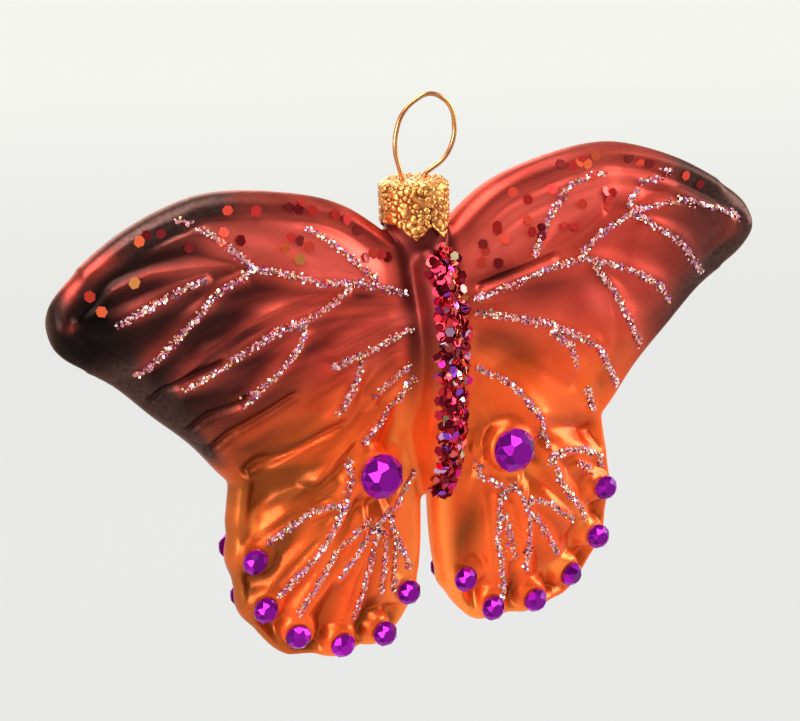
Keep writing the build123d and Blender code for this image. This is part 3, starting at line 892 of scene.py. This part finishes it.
extras = (0, 0, 0, 1, 2)  # how many more may lie beside a sequin
for node in sorted(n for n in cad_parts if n.startswith("wing_sequins")):
    places = []
    for centre in island_centres(node):
        places.append(lay_flake(
            centre, lift=0.12, tilt=0.12, radius=chance.uniform(0.84, 0.95), thickness=0.07,
        ))
        for extra in range(chance.choice(extras)):
            turn = chance.uniform(0, math.tau)
            aside = Vector((math.cos(turn), 0, math.sin(turn))) * chance.uniform(1.2, 1.8) * MM
            places.append(lay_flake(
                centre + aside, lift=0.14 + 0.09 * extra, tilt=0.2,
                radius=chance.uniform(0.8, 0.9), thickness=0.07,
            ))
    name = node.replace("wing_sequins", "loose_sequins")
    flakes = strew(name, places, tones_for(places))
    add_piece(name, flakes, foil, "butterfly", [node], smooth=False)

# %% [markdown]
# ## Body sequins
# The ridge of the body is crusted with chunky sequins: dark ones lie flat below as a painted shade in
# the gaps, and brighter ones in many colours stand out over them.

# %% Mixed foil
chunky = foil_finish("chunky mixed sequins", metallic=0.95, roughness=0.14, tones=[
    (0.00, (0.14, 0.005, 0.014)),
    (0.14, (0.32, 0.010, 0.026)),
    (0.30, (0.54, 0.020, 0.040)),
    (0.48, (0.72, 0.050, 0.052)),
    (0.60, (0.76, 0.110, 0.095)),
    (0.68, (0.74, 0.015, 0.22)),
    (0.76, (0.28, 0.050, 0.52)),
    (0.84, (0.82, 0.20, 0.06)),
    (0.90, (0.70, 0.38, 0.62)),
    (0.95, (0.88, 0.70, 0.40)),
])


# %% Body crust
def ridge_spots(node, face, count_per_mm2):
    """Spots on the ridge and, on its right as seen, some way down the flank."""
    def on_ridge(normal):
        return normal.y * face > (0.6 if normal.x * face > 0 else 0.05)

    found = scatter_on(node, count_per_mm2, on_ridge)
    return [spot - Vector((face * chance.uniform(0, 1.6) * MM, 0, 0)) for spot in found]


under_density, over_density = 1.4, 1.3  # sequins on a square millimetre
for node in ("body_sequins_front", "body_sequins_back"):
    face = -1 if "front" in node else 1
    under_shade_layer = [
        lay_flake(spot, lift=chance.uniform(0.04, 0.2), tilt=0.15, radius=0.85, thickness=0.05)
        for spot in ridge_spots(node, face, under_density)
    ]
    over = [
        lay_flake(
            spot, lift=chance.uniform(0.2, 0.9), tilt=0.35,
            radius=chance.uniform(0.6, 0.8), thickness=0.06,
        )
        for spot in ridge_spots(node, face, over_density)
    ]
    name = node.replace("body_sequins", "sequin_crust")
    # The lower layer takes only the dark tones: a painted shade between the upper sequins
    flakes = strew(name, under_shade_layer + over, tones_for(under_shade_layer, 0, 0.5) + tones_for(over))
    add_piece(name, flakes, chunky, "butterfly", [node], smooth=False)

# %% [markdown]
# ## Gems
# The gems are moulded acrylic with a foil back.  Their solids already have the facets, so they stay
# and only get a finish: violet, lighter on some facets and darker on others, a painted reflection of
# the foil inside.  Each facet has one direction, and a random number drawn from that direction picks
# its tone.

# %% Gems
acrylic = Finish("foil-backed violet acrylic", Metallic=0.55, Roughness=0.1, Specular_IOR_Level=0.2)
facet_step = 0.06  # directions nearer than this count as one facet
facing = acrylic.nodes.new("ShaderNodeNewGeometry")
steps = acrylic.nodes.new("ShaderNodeVectorMath")
steps.operation = "SNAP"
steps.inputs[1].default_value = [facet_step] * 3
painted_facet_reflection = acrylic.nodes.new("ShaderNodeTexWhiteNoise")
acrylic.join(facing.outputs["True Normal"], steps.inputs[0])
acrylic.join(steps.outputs["Vector"], painted_facet_reflection.inputs["Vector"])
# Painted reflection: each facet gets a tone from dark to light violet
acrylic.feed(acrylic.ramp(painted_facet_reflection.outputs["Value"], [
    (0.00, (0.060, 0.000, 0.085)),
    (0.30, (0.160, 0.001, 0.190)),
    (0.65, (0.270, 0.002, 0.300)),
    (1.00, (0.400, 0.006, 0.430)),
]), "Base Color")
for node in gem_nodes:
    dress(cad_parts[node].data, acrylic.material)
print("gems:", len(gem_nodes))

# %% [markdown]
# ## The cap
# The cap is thin brass-coloured metal, drawn to a cup, stamped with beads and blossoms, and cut to
# petals.  A flat grid is rolled into that cup: across the grid runs the turn about the axis, and along
# it runs the way from the middle of the top, over the rounded edge and down the side.

# %% Form of the cap
cap_low, cap_high = (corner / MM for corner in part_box("ornament_cap"))
cap_radius = cap_high.x
cap_top = cap_high.z
crown = 0.9  # radius of the rounded edge
petal_tip, skirt_side = cap_low.z, -15.0  # heights of the skirt's edge
petal_spread, petal_notch = 2.3, 2.2  # a petal's tip from the middle; depth of the notch between two


def petal_edge(turn):
    """Height of the skirt's edge at a turn about the axis, with 0 at the front."""
    across = abs(cap_radius * math.sin(turn))
    if across < petal_spread:
        return petal_tip + petal_notch * (1 - across / petal_spread)
    share = min((across - petal_spread) / petal_spread, 1)
    return petal_tip + (skirt_side - petal_tip) * share


def cap_point(turn, along):
    """The point and the outward direction at a place of the grid."""
    flat_run = cap_radius - crown
    arc_run = crown * math.pi / 2
    side_run = cap_top - crown - petal_edge(turn)
    way = along * (flat_run + arc_run + side_run)
    if way < flat_run:
        r, z, lean = way, cap_top, 0.0
    elif way < flat_run + arc_run:
        lean = (way - flat_run) / crown
        r = flat_run + crown * math.sin(lean)
        z = cap_top - crown + crown * math.cos(lean)
    else:
        r, z, lean = cap_radius, cap_top - crown - (way - flat_run - arc_run), math.pi / 2
    radial = Vector((math.sin(turn), -math.cos(turn), 0))
    normal = radial * math.sin(lean) + Vector((0, 0, math.cos(lean)))
    return radial * r + Vector((0, 0, z)), normal


print("cap radius:", round(cap_radius, 2), "height:", round(cap_top - petal_tip, 2))

# %% Stamped pattern
bead_size = 0.95
blossom_rise, blossom_radius = 2.4, 1.55  # rise above a petal's tip
leaves, leaf_place = 5, 0.95  # a leaf's middle from the blossom's


def stamping(turn, point):
    """How deep the grooves of the stamped pattern are: uneven beads, plain fields, and blossoms."""
    near, second = noise.voronoi(point / bead_size)[0][:2]
    beaded = 0.3 + 0.7 * smooth_step(0.3, 0.1, noise.noise(point * 0.5 + Vector((3, 1, 2))))
    groove = beaded * (1 - smooth_step(0.05, 0.45, second - near))
    for centre in (0, math.pi):
        for side in (-1, 1):
            spot = centre + side * math.asin(petal_spread / cap_radius)
            gap = ((turn - spot + math.pi) % math.tau - math.pi) * cap_radius
            rise = point.z - (petal_tip + blossom_rise)
            across = math.hypot(gap, rise)
            if across < blossom_radius:
                leaf = (math.atan2(rise, gap) / math.tau * leaves) % 1 - 0.5
                lobe = math.hypot(across - leaf_place, leaf * math.tau / leaves * across)
                groove = smooth_step(0.3, 0.7, lobe)
    return groove


print("blossoms at height", round(petal_tip + blossom_rise, 2))

# %% Sheet of the cap
columns, bands = 240, 100
stamp_rise, stamp_depth, dint_depth = 0.12, 0.3, 0.06
bm = bmesh.new()
bmesh.ops.create_grid(bm, x_segments=columns, y_segments=bands, size=0.5)
stamp = bm.verts.layers.float.new("stamp")
for vert in bm.verts:
    turn = (vert.co.x + 0.5) * math.tau
    along = max(0.0, 0.5 - vert.co.y)
    point, normal = cap_point(turn, along)
    vert[stamp] = stamping(turn, point)
    relief = stamp_rise - stamp_depth * vert[stamp] + dint_depth * noise.noise(point * 2.1)
    vert.co = (point + normal * relief) * MM
bmesh.ops.remove_doubles(bm, verts=bm.verts, dist=0.004 * MM)
print("faces of the sheet:", len(bm.faces))

# %% Holes and seam
hole_place, hole_radius = 2.0, 0.55
seam_half_width, seam_length = 0.08, 5.0
sheet_thickness = 0.2
wire_holes = [Vector((side * hole_place, 0)) * MM for side in (-1, 1)]
hole = hole_radius * MM
top_zone = (cap_top - 0.5) * MM
seam_end = (petal_tip + seam_length) * MM
cut = []
for quad in bm.faces:
    middle = quad.calc_center_median()
    in_hole = middle.z > top_zone and any((middle.xy - h).length < hole for h in wire_holes)
    in_seam = middle.y < 0 and abs(middle.x) < seam_half_width * MM and middle.z < seam_end
    if in_hole or in_seam:
        cut.append(quad)
print("faces cut out:", len(cut))
bmesh.ops.delete(bm, geom=cut, context="FACES")

# The ragged edges of the holes move to a circle
for vert in bm.verts:
    for h in wire_holes:
        if vert.is_boundary and vert.co.z > top_zone and (vert.co.xy - h).length < 2 * hole:
            vert.co.xy = h + (vert.co.xy - h).normalized() * hole
bmesh.ops.recalc_face_normals(bm, faces=bm.faces)
cap_mesh = through_modifier(
    to_mesh(bm, "sheet"), "SOLIDIFY", thickness=sheet_thickness * MM, offset=-1,
)

# %% Brass
brass = Finish("stamped gold cap", Metallic=1.0, Roughness=0.3)
tarnish = brass.uneven(350, 0.35, 0.65)
gold = brass.mix(tarnish["Mask"], (0.76, 0.26, 0.066), (0.92, 0.42, 0.125))
# The grooves of the stamping are darker: a painted shade
brass.feed(brass.mix(brass.attribute("stamp"), gold, (0.30, 0.085, 0.024)), "Base Color")
brass.feed(brass.remap(tarnish["Mask"], 0, 1, 0.42, 0.3), "Roughness")
add_piece("stamped_cap", cap_mesh, brass.material, "cap", ["ornament_cap"])

# %% [markdown]
# ## The hanger
# The wire's solid has the right bends, so it stays.  Its finish is drawn copper wire, a little darker
# where fingers have dulled it.

# %% Wire
copper = Finish("drawn copper wire", Metallic=1.0, Roughness=0.25)
dulled = copper.uneven(260, 0.35, 0.65)
copper.feed(copper.mix(dulled["Mask"], (0.48, 0.18, 0.065), (0.72, 0.35, 0.15)), "Base Color")
copper.feed(copper.remap(dulled["Mask"], 0, 1, 0.34, 0.2), "Roughness")
wire_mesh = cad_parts["hanger_wire"].data
dress(wire_mesh, copper.material)
print("wire:", len(wire_mesh.polygons), "faces")

# %% [markdown]
# ## Floor and light
# The ornament hangs in front of a plain pale ground.  Large soft lamps above, behind and at both sides
# give the satin its long highlights, and a dim room leaves the parts that face the viewer darker.

# %% Floor
floor_half, floor_level = 10, -0.3  # metres
bm = bmesh.new()
bmesh.ops.create_grid(bm, x_segments=1, y_segments=1, size=floor_half)
bmesh.ops.translate(bm, verts=bm.verts, vec=(0, 0, floor_level))
floor = bpy.data.objects.new("floor", to_mesh(bm, "floor"))
scene.collection.objects.link(floor)
print("floor at", floor.data.vertices[0].co.z)

# %% Paper
# The ground glows evenly where the camera or a reflection sees it, and paler with the distance
view_way = (0.477, 0.879, 0)  # level, away from the viewer
paper = Finish("pale paper ground", Roughness=0.9, Base_Color=(0.86, 0.87, 0.85, 1))
ground_place = paper.nodes.new("ShaderNodeTexCoord")
ground_way = paper.nodes.new("ShaderNodeVectorMath")
ground_way.operation = "DOT_PRODUCT"
ground_way.inputs[1].default_value = view_way
paper.join(ground_place.outputs["Object"], ground_way.inputs[0])
far_off = paper.remap(ground_way.outputs["Value"], 0.35, 2.2)
ground_glow = paper.nodes.new("ShaderNodeEmission")
paper.join(paper.mix(far_off, (0.73, 0.735, 0.73), (0.95, 0.945, 0.90)), ground_glow.inputs["Color"])
rays = paper.nodes.new("ShaderNodeLightPath")
seen = paper.combine("MAXIMUM", rays.outputs["Is Camera Ray"], rays.outputs["Is Glossy Ray"])
blend = paper.nodes.new("ShaderNodeMixShader")
parts = (paper.combine("MULTIPLY", seen, 0.92), paper.shader.outputs[0], ground_glow.outputs[0])
for part, socket in zip(parts, blend.inputs):
    paper.join(part, socket)
paper.join(blend.outputs[0], paper.nodes["Material Output"].inputs["Surface"])
dress(floor.data, paper.material)
print("nodes of the paper:", len(paper.nodes))


# %% Lamps
def soft_lamp(name, place, size, power):
    """A square lamp that faces the ornament."""
    data = bpy.data.lights.new(name, "AREA")
    data.size = size
    data.energy = power
    lamp = bpy.data.objects.new(name, data)
    scene.collection.objects.link(lamp)
    lamp.location = place
    lamp.rotation_mode = "QUATERNION"
    lamp.rotation_quaternion = (Vector(place) - aim).to_track_quat("Z", "Y")


soft_lamp("lamp_above", (-0.10, -0.25, 0.75), 0.6, 8.5)
soft_lamp("lamp_left", (-0.75, -0.35, 0.15), 0.5, 6)
soft_lamp("lamp_right", (0.80, -0.20, 0.15), 0.5, 6)
soft_lamp("lamp_behind", (0.1, 0.7, 0.35), 0.6, 4)

# %% Room
# It is dim on the side behind the viewer
dim_side = (0.30, -0.87, -0.40)
room = bpy.data.worlds.new("room")
room.use_nodes = True
nodes, links = room.node_tree.nodes, room.node_tree.links
sky = nodes["Background"]
sky.inputs["Color"].default_value = (0.92, 0.93, 0.92, 1)
direction = nodes.new("ShaderNodeTexCoord")
towards = nodes.new("ShaderNodeVectorMath")
towards.operation = "DOT_PRODUCT"
towards.inputs[1].default_value = dim_side
shade = nodes.new("ShaderNodeMapRange")
shade.interpolation_type = "SMOOTHSTEP"
for label, value in (("From Min", -0.1), ("From Max", 0.85), ("To Min", 0.74), ("To Max", 0.12)):
    shade.inputs[label].default_value = value
links.new(direction.outputs["Generated"], towards.inputs[0])
links.new(towards.outputs["Value"], shade.inputs["Value"])
links.new(shade.outputs["Result"], sky.inputs["Strength"])
scene.world = room
print("world:", scene.world.name)

# %% [markdown]
